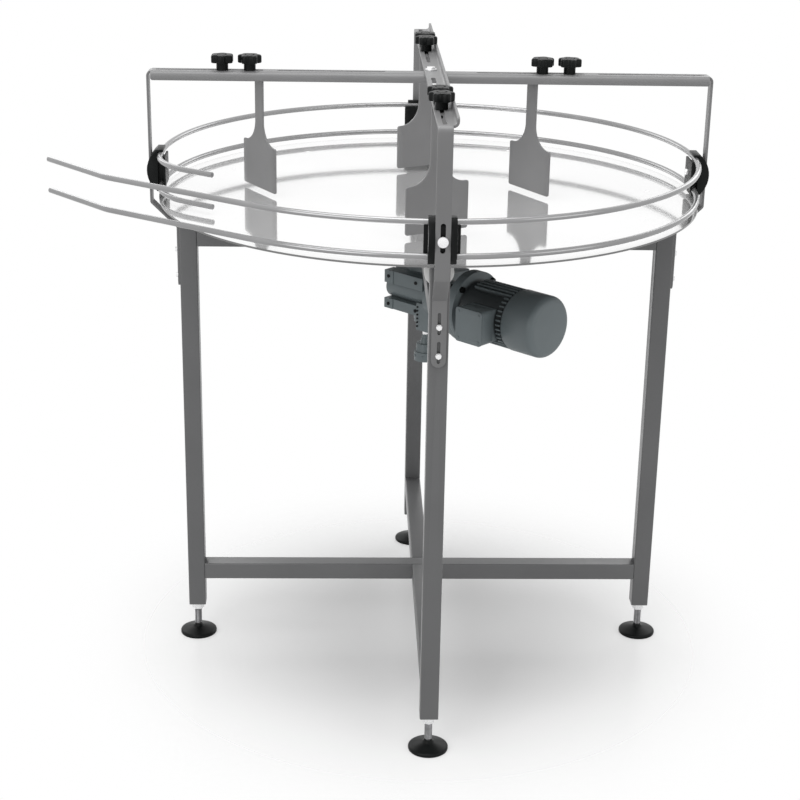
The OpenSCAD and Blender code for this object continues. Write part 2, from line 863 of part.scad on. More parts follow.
// Round-head bolt through each upright, clamp body and plate, with a nut inside
module clamp_bolts() {
    color(bright) four_sides() translate([0, 0, clamp_bolt_z]) {
        rod_x(plate_face - 12, up_out + 2, clamp_bolt_r);
        rod_x(up_out + gap, up_out + 5, 10.5);
        hex_x(plate_face - 11.5, plate_face - 5, 13);
    }
}

// Deflectors and knobs

// Blade outline: wide blade with round corners, narrowed by two hollow curves to the neck
module blade_outline(top) {
    shoulder = blade_gap + blade_height;
    translate([0, blade_gap + blade_height / 2]) soft_square(blade_width, blade_height, 5);
    difference() {
        translate([-neck_width / 2 - fillet_r, shoulder - 1])
            square([neck_width + 2 * fillet_r, fillet_r + 1]);
        for (x = [-1, 1]) translate([x * (neck_width / 2 + fillet_r), shoulder + fillet_r]) circle(fillet_r);
    }
    translate([-neck_width / 2, shoulder]) square([neck_width, top - shoulder]);
}

// One deflector under the +X half of a bar: blade turned from the bar, and its foot with two threaded holes
module deflector(neck, top, turn) {
    foot_top = top - sheet - gap;
    color(sheet_steel) {
        translate([neck, 0, 0]) rotate([0, 0, turn]) rotate([90, 0, 0]) translate([0, 0, -blade_sheet / 2])
            linear_extrude(blade_sheet) blade_outline(foot_top - foot_sheet + 2);
        difference() {
            translate([neck - 12, -foot_strip / 2, foot_top - foot_sheet])
                cube([knob_far + 26, foot_strip, foot_sheet]);
            for (x = [knob_lead, knob_far])
                translate([neck + x, 0, foot_top - foot_sheet - 1])
                    cylinder(h = foot_sheet + 2, r = stud_r + running);
        }
    }
}

module deflector_right() { side(0) deflector(neck_right, bar_height, -60); }
module deflector_back() { side(90) deflector(neck_back, cross_bar_height, -60); }
module deflector_left() { side(180) deflector(neck_left, bar_height, -60); }
module deflector_front() { side(270) deflector(neck_front, cross_bar_height, -60); }

// Star knob with its stem and stud, standing on a bar with its six lobes turned by the given angle
module knob(place, top, turned) {
    lobe_mid = knob_diameter / 2 - knob_lobe;
    color(black) translate([place, 0, top + gap]) {
        translate([0, 0, -2 * sheet - 8]) cylinder(h = 2 * sheet + 10, r = stud_r);
        cylinder(h = stem_height, r = stem_r);
        difference() {
            translate([0, 0, stem_height]) linear_extrude(knob_head) {
                circle(knob_diameter / 2 - knob_valley);
                for (turn = [0:60:300]) rotate(turned + turn) translate([lobe_mid, 0]) circle(knob_lobe);
            }
            translate([0, 0, stem_height + knob_head - 1.5]) difference() {
                cylinder(h = 2, r = 11);
                translate([0, 0, -1]) cylinder(h = 4, r = 8.5);
            }
        }
    }
}

module knob_left_outer() { side(180) knob(neck_left + knob_far, bar_height, left_turns[1]); }
module knob_left_inner() { side(180) knob(neck_left + knob_lead, bar_height, left_turns[0]); }
module knob_right_inner() { side(0) knob(neck_right + knob_lead, bar_height, right_turns[0]); }
module knob_right_outer() { side(0) knob(neck_right + knob_far, bar_height, right_turns[1]); }
module knob_front_outer() { side(270) knob(neck_front + knob_far, cross_bar_height, front_turns[1]); }
module knob_front_inner() { side(270) knob(neck_front + knob_lead, cross_bar_height, front_turns[0]); }
module knob_back_inner() { side(90) knob(neck_back + knob_lead, cross_bar_height, back_turns[0]); }
module knob_back_outer() { side(90) knob(neck_back + knob_far, cross_bar_height, back_turns[1]); }

leg_front();
leg_right();
leg_back();
leg_left();
upper_beams();
lower_braces();
leg_plugs();
foot_lock_nuts();
bearing_housing();
drive_plate();
shaft_bearings();
roller_axles();
bracket_bolts();
gearbox_casing();
gearbox_covers();
drive_screws();
motor_housing();
stator_core();
fan_cowl();
terminal_box();
terminal_lid();
cable_gland();
disc_plate();
track_ring();
hub_flange();
drive_shaft();
disc_screws();
worm_wheel();
slip_clutch();
rotor_shaft();
cooling_fan();
gantry_left_right();
gantry_front_back();
crossing_bolt();
upper_rail();
lower_rail();
clamp_bodies();
clamp_plates();
clamp_bolts();
deflector_left();
deflector_right();
deflector_front();
deflector_back();
knob_left_outer();
knob_left_inner();
knob_right_inner();
knob_right_outer();
knob_front_outer();
knob_front_inner();
knob_back_inner();
knob_back_outer();
roller_front();
roller_right();
roller_back();
roller_left();
foot_front();
foot_right();
foot_back();
foot_left();
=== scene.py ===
import math

import bmesh
import bpy
import numpy as np
from mathutils import Matrix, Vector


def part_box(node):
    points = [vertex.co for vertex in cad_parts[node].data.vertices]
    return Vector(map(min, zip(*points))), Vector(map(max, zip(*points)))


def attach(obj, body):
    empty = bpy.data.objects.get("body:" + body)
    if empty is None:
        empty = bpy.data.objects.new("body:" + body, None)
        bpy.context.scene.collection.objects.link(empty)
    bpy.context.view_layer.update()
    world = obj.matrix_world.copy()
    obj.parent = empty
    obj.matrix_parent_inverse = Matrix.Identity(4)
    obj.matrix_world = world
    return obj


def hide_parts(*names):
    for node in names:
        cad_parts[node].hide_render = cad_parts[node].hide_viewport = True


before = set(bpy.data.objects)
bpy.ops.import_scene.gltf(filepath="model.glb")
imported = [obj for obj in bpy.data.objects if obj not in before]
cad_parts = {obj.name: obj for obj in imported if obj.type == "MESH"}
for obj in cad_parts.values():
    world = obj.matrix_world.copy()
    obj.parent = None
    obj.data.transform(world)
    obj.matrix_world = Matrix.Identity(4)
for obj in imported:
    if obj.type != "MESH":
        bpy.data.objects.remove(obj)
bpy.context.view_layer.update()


# Frame of square tube
# Legs, upper beams and lower braces are square steel tube, sawn to length, drilled and welded,
# then sprayed with a satin grey coat that follows the tube's rounded corners.
TUBE_DARK = (0.110, 0.111, 0.113, 1.0)
TUBE_LIGHT = (0.122, 0.123, 0.125, 1.0)
TUBE_EDGE = 0.0004
SMOOTH_BELOW = math.radians(38)
BEVEL_ABOVE = math.radians(48)
BEVEL_STEPS = 2
WELD_WITHIN = 0.00001
NOISE_LOW = 0.3
NOISE_HIGH = 0.7
GLOSS_DRIFT = 0.03
PEEL_DEPTH = 0.0003


def speckle(tree, scale, detail, stretch=(1.0, 1.0, 1.0)):
    """Noise on the piece's own coordinates, squeezed along each axis by the stretch factors"""
    place = tree.nodes.new("ShaderNodeTexCoord")
    squeeze = tree.nodes.new("ShaderNodeMapping")
    squeeze.inputs["Scale"].default_value = stretch
    noise = tree.nodes.new("ShaderNodeTexNoise")
    noise.inputs["Scale"].default_value = scale
    noise.inputs["Detail"].default_value = detail
    tree.links.new(place.outputs["Object"], squeeze.inputs["Vector"])
    tree.links.new(squeeze.outputs["Vector"], noise.inputs["Vector"])
    return noise.outputs["Fac"]


def spread(tree, source, low, high):
    """Stretches the middle of a noise, between the two noise values, over the range from low to high"""
    scale = tree.nodes.new("ShaderNodeMapRange")
    scale.inputs["From Min"].default_value = NOISE_LOW
    scale.inputs["From Max"].default_value = NOISE_HIGH
    scale.inputs["To Min"].default_value = low
    scale.inputs["To Max"].default_value = high
    tree.links.new(source, scale.inputs["Value"])
    return scale.outputs["Result"]


def tint(tree, amount, dark, light):
    """Colour that runs from dark to light as the amount goes from the low to the high noise value"""
    ramp = tree.nodes.new("ShaderNodeValToRGB")
    ramp.color_ramp.elements[0].position = NOISE_LOW
    ramp.color_ramp.elements[0].color = dark
    ramp.color_ramp.elements[1].position = NOISE_HIGH
    ramp.color_ramp.elements[1].color = light
    tree.links.new(amount, ramp.inputs["Fac"])
    return ramp.outputs["Color"]


def relief(tree, height, strength, distance):
    """Normal that leans with a height field; distance is the field's depth in metres"""
    bump = tree.nodes.new("ShaderNodeBump")
    bump.inputs["Strength"].default_value = strength
    bump.inputs["Distance"].default_value = distance
    tree.links.new(height, bump.inputs["Height"])
    return bump.outputs["Normal"]


def new_material(name):
    """Node material with one shader, returned with its tree"""
    material = bpy.data.materials.new(name)
    material.use_nodes = True
    return material, material.node_tree, material.node_tree.nodes["Principled BSDF"]


def sprayed_coat(name, dark, light, rough, metal, peel):
    """Sprayed satin coat: slow drift of shade, fine orange peel in the bump, gloss that varies
    with handling"""
    material, tree, shader = new_material(name)
    shader.inputs["Metallic"].default_value = metal
    drift = speckle(tree, scale=7.0, detail=3.0)
    handling = speckle(tree, scale=23.0, detail=5.0)
    peel_field = speckle(tree, scale=900.0, detail=2.0)
    gloss = spread(tree, handling, rough - GLOSS_DRIFT, rough + GLOSS_DRIFT)
    tree.links.new(tint(tree, drift, dark, light), shader.inputs["Base Color"])
    tree.links.new(gloss, shader.inputs["Roughness"])
    tree.links.new(relief(tree, peel_field, peel, PEEL_DEPTH), shader.inputs["Normal"])
    return material


def smooth_group():
    """Nodes that shade a mesh smooth, with a crease wherever two faces meet at more than the set angle"""
    group = bpy.data.node_groups.new("smooth_by_angle", "GeometryNodeTree")
    group.interface.new_socket("Geometry", in_out="INPUT", socket_type="NodeSocketGeometry")
    group.interface.new_socket("Geometry", in_out="OUTPUT", socket_type="NodeSocketGeometry")
    entry = group.nodes.new("NodeGroupInput")
    leave = group.nodes.new("NodeGroupOutput")
    angle = group.nodes.new("GeometryNodeInputMeshEdgeAngle")
    flat = group.nodes.new("FunctionNodeCompare")
    flat.operation = "LESS_EQUAL"
    flat.inputs[1].default_value = SMOOTH_BELOW
    crease = group.nodes.new("GeometryNodeSetShadeSmooth")
    crease.domain = "EDGE"
    curve = group.nodes.new("GeometryNodeSetShadeSmooth")
    group.links.new(entry.outputs[0], crease.inputs[0])
    group.links.new(angle.outputs["Unsigned Angle"], flat.inputs[0])
    group.links.new(flat.outputs[0], crease.inputs["Shade Smooth"])
    group.links.new(crease.outputs[0], curve.inputs[0])
    group.links.new(curve.outputs[0], leave.inputs[0])
    return group


smooth_by_angle = smooth_group()


def round_edges(piece, edge):
    """Bevels a piece's sharp edges by the edge width in metres, if any, and shades its curves smooth"""
    if edge > 0:
        bevel = piece.modifiers.new("edge", "BEVEL")
        bevel.width = edge
        bevel.segments = BEVEL_STEPS
        bevel.limit_method = "ANGLE"
        bevel.angle_limit = BEVEL_ABOVE
        bevel.use_clamp_overlap = True
    shade = piece.modifiers.new("shade", "NODES")
    shade.node_group = smooth_by_angle


def dress(node, material, edge=0.0):
    """Gives a CAD node its finish, joins its loose triangles in a modifier and softens its edges"""
    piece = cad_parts[node]
    for slot in piece.material_slots:
        slot.material = material
    weld = piece.modifiers.new("weld", "WELD")
    weld.merge_threshold = WELD_WITHIN
    round_edges(piece, edge)


tube_coat = sprayed_coat("tube_coat", TUBE_DARK, TUBE_LIGHT, rough=0.34, metal=0.0, peel=0.02)
for tube in ("leg_front", "leg_right", "leg_back", "leg_left", "upper_beams", "lower_braces"):
    dress(tube, tube_coat, TUBE_EDGE)


# Leg plugs and lock nuts
# A black moulded plug closes each leg and holds the foot's thread; a zinc-plated nut under it
# locks the spindle once the table is level.
BLACK_DARK = (0.0026, 0.0032, 0.0032, 1.0)
BLACK_LIGHT = (0.0048, 0.0056, 0.0056, 1.0)
ZINC_DARK = (0.80, 0.80, 0.81, 1.0)
ZINC_LIGHT = (0.92, 0.92, 0.92, 1.0)
PLASTIC_SHINE = 0.13
GRAIN_DRIFT = 0.08
STEEL_METAL = 0.7
MARK_STRETCH = (1.0, 1.0, 6.0)
MARK_SMOOTH = 0.06
MARK_DULL = 0.08
MARK_RELIEF = 0.06
FINE_DEPTH = 0.0002


def moulded_plastic(name, dark, light, rough, grain):
    """Moulded plastic: faint flow marks in the colour, a fine spark-eroded grain in gloss and bump"""
    material, tree, shader = new_material(name)
    shader.inputs["Specular IOR Level"].default_value = PLASTIC_SHINE
    flow = speckle(tree, scale=40.0, detail=3.0)
    erosion = speckle(tree, scale=1400.0, detail=2.0)
    gloss = spread(tree, erosion, rough - GRAIN_DRIFT, rough + GRAIN_DRIFT)
    tree.links.new(tint(tree, flow, dark, light), shader.inputs["Base Color"])
    tree.links.new(gloss, shader.inputs["Roughness"])
    tree.links.new(relief(tree, erosion, grain, FINE_DEPTH), shader.inputs["Normal"])
    return material


def turned_steel(name, dark, light, rough):
    """Bright machined or plated steel: cloudy plating in the colour, fine tool marks in gloss and bump"""
    material, tree, shader = new_material(name)
    shader.inputs["Metallic"].default_value = STEEL_METAL
    cloud = speckle(tree, scale=90.0, detail=4.0)
    marks = speckle(tree, scale=700.0, detail=3.0, stretch=MARK_STRETCH)
    gloss = spread(tree, marks, rough - MARK_SMOOTH, rough + MARK_DULL)
    tree.links.new(tint(tree, cloud, dark, light), shader.inputs["Base Color"])
    tree.links.new(gloss, shader.inputs["Roughness"])
    tree.links.new(relief(tree, marks, MARK_RELIEF, FINE_DEPTH), shader.inputs["Normal"])
    return material


black_plastic = moulded_plastic("black_plastic", BLACK_DARK, BLACK_LIGHT, rough=0.36, grain=0.06)
zinc_plate = turned_steel("zinc_plate", ZINC_DARK, ZINC_LIGHT, rough=0.3)
dress("leg_plugs", black_plastic, edge=0.0005)
dress("foot_lock_nuts", zinc_plate, edge=0.0006)


# Levelling feet
# Each foot is a moulded black pad with a socket, and a zinc-plated steel spindle that stands in it on a
# narrower neck; its rolled thread screws up into the leg's plug. Sizes in millimetres.
MM = 0.001
ARMS = {"right": 0.0, "back": 90.0, "left": 180.0, "front": 270.0}
FLOOR_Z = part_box("foot_front")[0].z / MM
LEG_R = -(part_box("leg_front")[0].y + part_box("leg_front")[1].y) / 2 / MM
PAD_R = (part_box("foot_right")[1].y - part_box("foot_right")[0].y) / 2 / MM
PAD_RIM = [(0, 0), (PAD_R, 0), (PAD_R, 6), (PAD_R - 3, 8)]
PAD_HUB = [(11, 17), (9, 20), (5.3, 20), (5.3, 12.3), (0, 12.3)]
PAD_CUTS = [0, 1.0, 1.6, 2.5, 5.0, 1.0, 0.4, 0, 0]
SPINDLE_R = 8.5
SPINDLE_NECK = [(0, 12.3), (4.8, 12.3), (4.8, 21), (7.6, 24.5)]
SPINDLE_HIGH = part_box("foot_front")[1].z / MM - FLOOR_Z
THREAD_LOW = 25.0
THREAD_PITCH = 2.0
THREAD_DEPTH = 0.9
THREAD_ROWS = 5
PAD_SIDES = 48
SPINDLE_SIDES = 24
NO_LENGTH = 1e-9
JOIN_SCALE = 1000
JOIN_SHIFT = 0.137
SPINDLE_DARK = (0.17, 0.17, 0.175, 1.0)
SPINDLE_LIGHT = (0.26, 0.26, 0.265, 1.0)


def rounded(corners, cuts, steps=6):
    """Outline through the corners, each one cut back by its cut length and bridged by a parabola"""
    corner = np.asarray(corners, float)
    before = np.roll(corner, 1, axis=0)
    after = np.roll(corner, -1, axis=0)
    before[0] = corner[0]
    after[-1] = corner[-1]
    back = before - corner
    ahead = after - corner
    back /= np.maximum(np.linalg.norm(back, axis=1, keepdims=True), NO_LENGTH)
    ahead /= np.maximum(np.linalg.norm(ahead, axis=1, keepdims=True), NO_LENGTH)
    cut = np.asarray(cuts, float)[:, None]
    q = np.linspace(0, 1, steps)[None, :, None]
    first = (corner + back * cut)[:, None, :]
    last = (corner + ahead * cut)[:, None, :]
    curve = (1 - q) ** 2 * first + 2 * q * (1 - q) * corner[:, None, :] + q ** 2 * last
    return curve.reshape(-1, 2)


def revolved(radius, height, sides):
    """Rows of radius and height turned about Z: x and y are the radius times cosine and sine of the turn"""
    turn = np.linspace(0, 2 * math.pi, sides, endpoint=False)
    radius = np.asarray(radius, float)
    if radius.ndim == 1:
        radius = np.repeat(radius[:, None], sides, axis=1)
    height = np.repeat(np.asarray(height, float)[:, None], sides, axis=1)
    return np.stack([radius * np.cos(turn), radius * np.sin(turn), height], axis=-1)


def threaded_spindle():
    """Spindle: neck rows of radius and height, then a thread whose radius dips by the depth as a
    triangle wave of height over pitch less turn over a full turn"""
    rows = int((SPINDLE_HIGH - THREAD_LOW) / THREAD_PITCH * THREAD_ROWS) + 1
    height = np.linspace(THREAD_LOW, SPINDLE_HIGH, rows)
    turn = np.linspace(0, 1, SPINDLE_SIDES, endpoint=False)
    wave = np.abs(2 * np.mod(height[:, None] / THREAD_PITCH - turn[None, :], 1) - 1)
    grid = revolved(SPINDLE_R - THREAD_DEPTH * wave, height, SPINDLE_SIDES)
    neck_radius, neck_height = np.asarray(SPINDLE_NECK, float).T
    lead = revolved(neck_radius, neck_height, SPINDLE_SIDES)
    pole = revolved([0.0], [SPINDLE_HIGH], SPINDLE_SIDES)
    return np.concatenate([lead, grid, pole])


def turned_to(points, degrees):
    """Points swung about Z by the angle"""
    swing = math.radians(degrees)
    cosine = math.cos(swing)
    sine = math.sin(swing)
    return points @ np.array([[cosine, sine, 0], [-sine, cosine, 0], [0, 0, 1]])


def grid_quads(rows, columns, first, around):
    """Corner numbers of the quads of a grid; around joins the last column to the first"""
    row = np.arange(rows - 1)[:, None]
    column = np.arange(columns if around else columns - 1)[None, :]
    here = row * columns + column
    beside = row * columns + (column + 1) % columns
    return first + np.stack([here, beside, beside + columns, here + columns], axis=-1).reshape(-1, 4)


def welded(patches):
    """One point list and face list from grids of points: points that agree to a thousandth of a millimetre
    are joined, quads with one such pair become triangles and those with more are dropped"""
    sizes = [grid.shape[0] * grid.shape[1] for grid, around in patches]
    starts = np.concatenate([[0], np.cumsum(sizes)[:-1]])
    points = np.concatenate([grid.reshape(-1, 3) for grid, around in patches])
    quads = np.concatenate([
        grid_quads(grid.shape[0], grid.shape[1], start, around)
        for (grid, around), start in zip(patches, starts)
    ])
    keys = np.round(points * JOIN_SCALE + JOIN_SHIFT).astype(np.int64)
    unused, kept, place = np.unique(keys, axis=0, return_index=True, return_inverse=True)
    quads = place.reshape(-1)[quads]
    twins = quads == np.roll(quads, -1, axis=1)
    count = twins.sum(axis=1)
    whole = quads[count == 0]
    thin = quads[count == 1]
    order = (twins[count == 1].argmax(axis=1)[:, None] + np.array([1, 2, 3])) % 4
    triangles = np.take_along_axis(thin, order, axis=1)
    return points[kept] * MM, whole.tolist() + triangles.tolist()


def new_piece(name, patches, material, body, slot, *nodes):
    """Mesh object from grids of points in millimetres, facing outwards, that rides on a body in place of
    CAD nodes"""
    points, faces = welded(patches)
    mesh = bpy.data.meshes.new(name)
    mesh.from_pydata(points.tolist(), [], faces)
    shell = bmesh.new()
    shell.from_mesh(mesh)
    bmesh.ops.recalc_face_normals(shell, faces=shell.faces)
    shell.to_mesh(mesh)
    shell.free()
    mesh.materials.append(material)
    piece = bpy.data.objects.new(name, mesh)
    bpy.context.scene.collection.objects.link(piece)
    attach(piece, body)
    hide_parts(*nodes)
    return piece


spindle_steel = turned_steel("spindle_steel", SPINDLE_DARK, SPINDLE_LIGHT, rough=0.32)
pad_radius, pad_height = rounded(PAD_RIM + PAD_HUB, PAD_CUTS).T
for side, swing in ARMS.items():
    stand = np.array([LEG_R, 0, FLOOR_Z])
    pad = turned_to(revolved(pad_radius, pad_height, PAD_SIDES) + stand, swing)
    spindle = turned_to(threaded_spindle() + stand, swing)
    body = f"foot_{side}"
    pad_name = f"{side}_foot_pad"
    spindle_name = f"{side}_foot_spindle"
    pad_piece = new_piece(pad_name, [(pad, True)], black_plastic, body, "black_plastic", body)
    spindle_piece = new_piece(spindle_name, [(spindle, True)], spindle_steel, body, "bright_steel", body)
    round_edges(pad_piece, edge=0)
    round_edges(spindle_piece, edge=0)


# Bearing housing and drive plate
# A turned steel housing sits where the four beams meet, with a plate below it that carries the
# gearbox. Both wear the frame's coat; the bearings inside are ground steel.
dress("bearing_housing", tube_coat, edge=0.0008)
dress("drive_plate", tube_coat, edge=0.0008)
dress("shaft_bearings", zinc_plate)


# Gearbox
# Cast aluminium worm gearbox with bolted covers, sprayed blue-grey at the maker's, and its plain
# steel screws. The bronze wheel and the steel worm turn inside.
DRIVE_DARK = (0.112, 0.135, 0.142, 1.0)
DRIVE_LIGHT = (0.133, 0.158, 0.166, 1.0)
DRIVE_ROUGH = 0.48
DRIVE_PEEL = 0.25
BRONZE_DARK = (0.36, 0.22, 0.07, 1.0)
BRONZE_LIGHT = (0.50, 0.33, 0.12, 1.0)

drive_paint = sprayed_coat("drive_paint", DRIVE_DARK, DRIVE_LIGHT, DRIVE_ROUGH, metal=0.0, peel=DRIVE_PEEL)
bronze = turned_steel("wheel_bronze", BRONZE_DARK, BRONZE_LIGHT, rough=0.35)
dress("gearbox_casing", drive_paint, edge=0.0012)
dress("gearbox_covers", drive_paint, edge=0.0010)
dress("drive_screws", black_plastic, edge=0.0004)
dress("worm_wheel", bronze)
dress("rotor_shaft", zinc_plate)


# Motor
# Finned aluminium housing with a steel fan cowl pressed over its end and a terminal box on the
# front, all in the gearbox's paint, with painted shade in the fins' grooves. The wound core, the rotor
# and the fan are inside.
IRON_DARK = (0.05, 0.045, 0.04, 1.0)
IRON_LIGHT = (0.09, 0.08, 0.07, 1.0)
MOTOR_MID = (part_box("fan_cowl")[0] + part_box("fan_cowl")[1]) / 2
MOTOR_WAY = (math.sqrt(0.5), -math.sqrt(0.5), 0.0)
GROOVE_LOW = 0.060
GROOVE_HIGH = 0.066
GROOVE_SHADE = 0.22


def shade_painted_grooves(name):
    """The drive's coat, darkened as painted shade where the distance from the motor's axis falls from the
    fins' tips to the grooves; the distance is the length of a cross product with the way"""
    material = sprayed_coat(name, DRIVE_DARK, DRIVE_LIGHT, DRIVE_ROUGH, metal=0.0, peel=DRIVE_PEEL)
    tree = material.node_tree
    colour = tree.nodes["Principled BSDF"].inputs["Base Color"]
    coat = colour.links[0].from_socket
    place = tree.nodes.new("ShaderNodeTexCoord")
    from_middle = tree.nodes.new("ShaderNodeVectorMath")
    from_middle.operation = "SUBTRACT"
    from_middle.inputs[1].default_value = MOTOR_MID
    aside = tree.nodes.new("ShaderNodeVectorMath")
    aside.operation = "CROSS_PRODUCT"
    aside.inputs[1].default_value = MOTOR_WAY
    distance = tree.nodes.new("ShaderNodeVectorMath")
    distance.operation = "LENGTH"
    depth = tree.nodes.new("ShaderNodeMapRange")
    depth.inputs["From Min"].default_value = GROOVE_LOW
    depth.inputs["From Max"].default_value = GROOVE_HIGH
    depth.inputs["To Min"].default_value = GROOVE_SHADE
    depth.inputs["To Max"].default_value = 1.0
    # Multiplies the coat by the painted shade, darkest in the grooves between the fins
    painted_groove_shade = tree.nodes.new("ShaderNodeMix")
    painted_groove_shade.data_type = "RGBA"
    painted_groove_shade.blend_type = "MULTIPLY"
    painted_groove_shade.inputs["Factor"].default_value = 1.0
    tree.links.new(place.outputs["Object"], from_middle.inputs[0])
    tree.links.new(from_middle.outputs["Vector"], aside.inputs[0])
    tree.links.new(aside.outputs["Vector"], distance.inputs[0])
    tree.links.new(distance.outputs["Value"], depth.inputs["Value"])
    tree.links.new(coat, painted_groove_shade.inputs["A"])
    tree.links.new(depth.outputs["Result"], painted_groove_shade.inputs["B"])
    tree.links.new(painted_groove_shade.outputs["Result"], colour)
    return material


core_iron = turned_steel("core_iron", IRON_DARK, IRON_LIGHT, rough=0.5)
# The fins' coat, with painted shade in the grooves between the fins
shaded_fin_paint = shade_painted_grooves("shaded_fin_paint")
dress("motor_housing", shaded_fin_paint, edge=0.0004)
dress("stator_core", core_iron)
dress("fan_cowl", drive_paint, edge=0.0004)
dress("terminal_box", drive_paint, edge=0.0006)
dress("terminal_lid", drive_paint, edge=0.0008)
dress("cable_gland", black_plastic, edge=0.0005)
dress("cooling_fan", black_plastic)


# Turntable
# The disc is polished stainless sheet on a hub flange, with a steel track ring screwed under it for
# the rollers. The shaft runs down through the gearbox to the slip clutch.
DISC_DARK = (0.91, 0.91, 0.91, 1.0)
DISC_LIGHT = (0.94, 0.94, 0.94, 1.0)
# Dark grey of the duller sawn rim, also used as painted shade on the disc's downward back
DISC_CUT_AND_SHADE = (0.20, 0.20, 0.20, 1.0)
DISC_RIM = 0.5995
DISC_BACK = -0.0038
DISC_METAL = 0.8
BACK_METAL = 0.2
DISC_ROUGH = (0.05, 0.09)
BACK_ROUGHER = 0.5
RING_SCALE = 160.0
RING_WANDER = 3.0
RING_DETAIL = 3.0
RING_RELIEF = 0.004
RING_DEPTH = 0.0001


def polished_disc(name):
    """Polished sheet: rings of very fine polishing lines round the axis in gloss and bump, slow drift
    of shade, a duller sawn rim beyond the rim radius, and a back in the rim's dark grey with less metal
    and more roughness, whose dark grey is painted shade on the downward face"""
    material, tree, shader = new_material(name)
    place = tree.nodes.new("ShaderNodeTexCoord")
    rings = tree.nodes.new("ShaderNodeTexWave")
    rings.wave_type = "RINGS"
    rings.rings_direction = "Z"
    rings.inputs["Scale"].default_value = RING_SCALE
    rings.inputs["Distortion"].default_value = RING_WANDER
    rings.inputs["Detail"].default_value = RING_DETAIL
    tree.links.new(place.outputs["Object"], rings.inputs["Vector"])
    drift = speckle(tree, scale=4.0, detail=3.0)
    from_axis = tree.nodes.new("ShaderNodeVectorMath")
    from_axis.operation = "MULTIPLY"
    from_axis.inputs[1].default_value = (1, 1, 0)
    radius = tree.nodes.new("ShaderNodeVectorMath")
    radius.operation = "LENGTH"
    rim = tree.nodes.new("ShaderNodeMath")
    rim.operation = "GREATER_THAN"
    rim.inputs[1].default_value = DISC_RIM
    height = tree.nodes.new("ShaderNodeSeparateXYZ")
    back = tree.nodes.new("ShaderNodeMath")
    back.operation = "LESS_THAN"
    back.inputs[1].default_value = DISC_BACK
    # The rim and the back share the dark grey: a duller sawn rim, and painted shade on the back
    rim_and_shaded_back = tree.nodes.new("ShaderNodeMath")
    rim_and_shaded_back.operation = "MAXIMUM"
    rough = tree.nodes.new("ShaderNodeMath")
    rough.operation = "ADD"
    cut_and_shade_mix = tree.nodes.new("ShaderNodeMix")
    cut_and_shade_mix.data_type = "RGBA"
    cut_and_shade_mix.inputs["B"].default_value = DISC_CUT_AND_SHADE
    tree.links.new(place.outputs["Object"], from_axis.inputs[0])
    tree.links.new(from_axis.outputs["Vector"], radius.inputs[0])
    tree.links.new(radius.outputs["Value"], rim.inputs[0])
    tree.links.new(place.outputs["Object"], height.inputs["Vector"])
    tree.links.new(height.outputs["Z"], back.inputs[0])
    tree.links.new(rim.outputs["Value"], rim_and_shaded_back.inputs[0])
    tree.links.new(back.outputs["Value"], rim_and_shaded_back.inputs[1])
    tree.links.new(rim_and_shaded_back.outputs["Value"], cut_and_shade_mix.inputs["Factor"])
    tree.links.new(spread(tree, back.outputs["Value"], DISC_METAL, BACK_METAL), shader.inputs["Metallic"])
    tree.links.new(tint(tree, drift, DISC_DARK, DISC_LIGHT), cut_and_shade_mix.inputs["A"])
    tree.links.new(cut_and_shade_mix.outputs["Result"], shader.inputs["Base Color"])
    tree.links.new(spread(tree, rings.outputs["Fac"], *DISC_ROUGH), rough.inputs[0])
    tree.links.new(spread(tree, back.outputs["Value"], 0.0, BACK_ROUGHER), rough.inputs[1])
    tree.links.new(rough.outputs["Value"], shader.inputs["Roughness"])
    tree.links.new(relief(tree, rings.outputs["Fac"], RING_RELIEF, RING_DEPTH), shader.inputs["Normal"])
    return material


disc_steel = polished_disc("disc_steel")
dress("disc_plate", disc_steel)
dress("track_ring", tube_coat)
dress("hub_flange", tube_coat, edge=0.0006)
dress("drive_shaft", zinc_plate, edge=0.0008)
dress("disc_screws", zinc_plate)
dress("slip_clutch", drive_paint, edge=0.0008)


# Support rollers
# Four turned white nylon rollers run on shouldered steel axles, each bolted through the inner wall of a
# leg. They carry the disc's rim.
NYLON_DARK = (0.80, 0.80, 0.79, 1.0)
NYLON_LIGHT = (0.88, 0.88, 0.87, 1.0)

nylon = moulded_plastic("roller_nylon", NYLON_DARK, NYLON_LIGHT, rough=0.4, grain=0.05)
dress("roller_axles", zinc_plate, edge=0.0004)
for side in ARMS:
    dress(f"roller_{side}", nylon, edge=0.0015)


# Gantries
# Two strips of 5 mm sheet with cut slots, folded into portals with a stiffening flange along the bar.
# They are bolted to the legs through slots and to each other where they cross.
SHEET_DARK = (0.146, 0.146, 0.148, 1.0)
SHEET_LIGHT = (0.168, 0.168, 0.170, 1.0)
SHEET = 5.0
SEAT_GAP = 0.2
CUT_EDGE = 0.5
STRIP_HALF = 15.0
BAR_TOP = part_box("gantry_left_right")[1].z / MM
CROSS_TOP = BAR_TOP + SHEET
UPRIGHT_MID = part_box("gantry_left_right")[1].x / MM - SHEET / 2
FOOT_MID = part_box("leg_right")[1].x / MM + SEAT_GAP + SHEET / 2
FOOT_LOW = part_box("gantry_left_right")[0].z / MM
CORNER_R = 10.5
FOLD_R = 5.0
FOLD_TURN = 45.0
JOG_TOP = -24.0
BAR_SLOTS = [(100, 337, 9.5), (367, 603, 9.5)]
CLAMP_SLOT = (30, 89, 10.0)
FOOT_SLOTS = [(-152, -106, 6.6), (-212, -166, 6.6)]
FLANGE_END = 612.0
FLANGE_R = 9.0
FLANGE_RISE = 8.5
FLANGE_CORNER = 5.0
PATH_POINTS = 40001
STRIP_STEPS = 60
CURVE_STEPS = 9
FOLD_STEPS = 5
LANE_STEPS = 4
BEND_STEPS = 7
ROUNDING = 0.001


